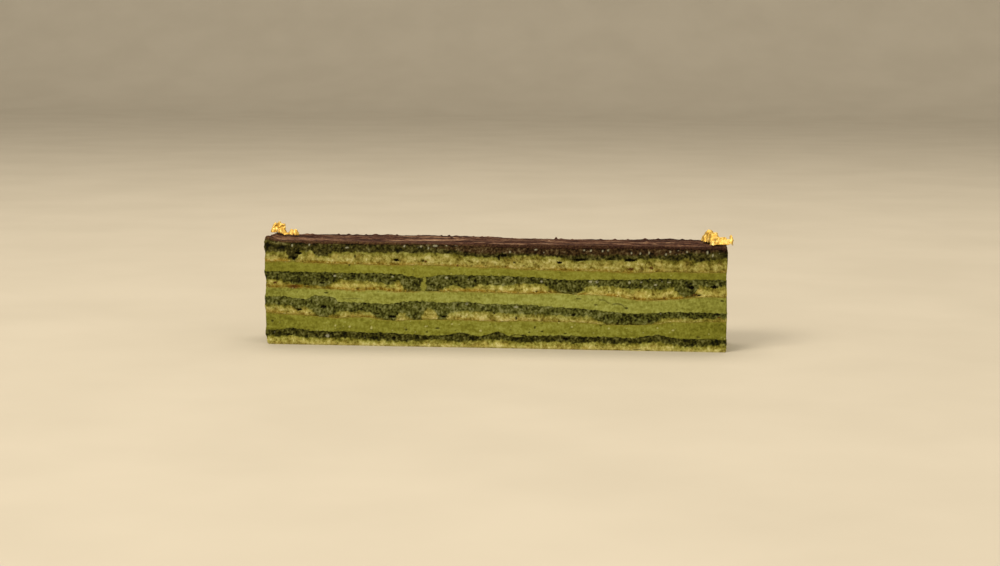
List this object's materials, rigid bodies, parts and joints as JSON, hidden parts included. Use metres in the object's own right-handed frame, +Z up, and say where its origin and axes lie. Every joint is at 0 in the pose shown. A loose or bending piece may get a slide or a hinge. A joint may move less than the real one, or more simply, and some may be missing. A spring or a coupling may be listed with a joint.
{
  "type": "matcha opera cake",
  "caption": "Slim cut bar of layered matcha opera cake: soaked sponge sheets, matcha cream, combed chocolate glaze, flakes of gold leaf.",
  "frame": {"origin": "middle of the flat underside that the cake rests on", "axes": "+Z up; +X along the bar to the viewer's right; -Y out of the long cut side that faces the viewer"},
  "size_m": [0.1419, 0.0216, 0.0364],
  "materials": {
    "glaze": "satin",
    "sponge": "matte",
    "cream": "satin",
    "gold": "polished"
  },
  "bodies": {
    "root": {"glaze": "glaze", "sponge_1": "sponge", "cream_1": "cream", "sponge_2": "sponge", "cream_2": "cream", "sponge_3": "sponge", "cream_3": "cream", "sponge_4": "sponge", "gold_leaf_left": "gold", "gold_leaf_right": "gold"}
  },
  "joints": []
}
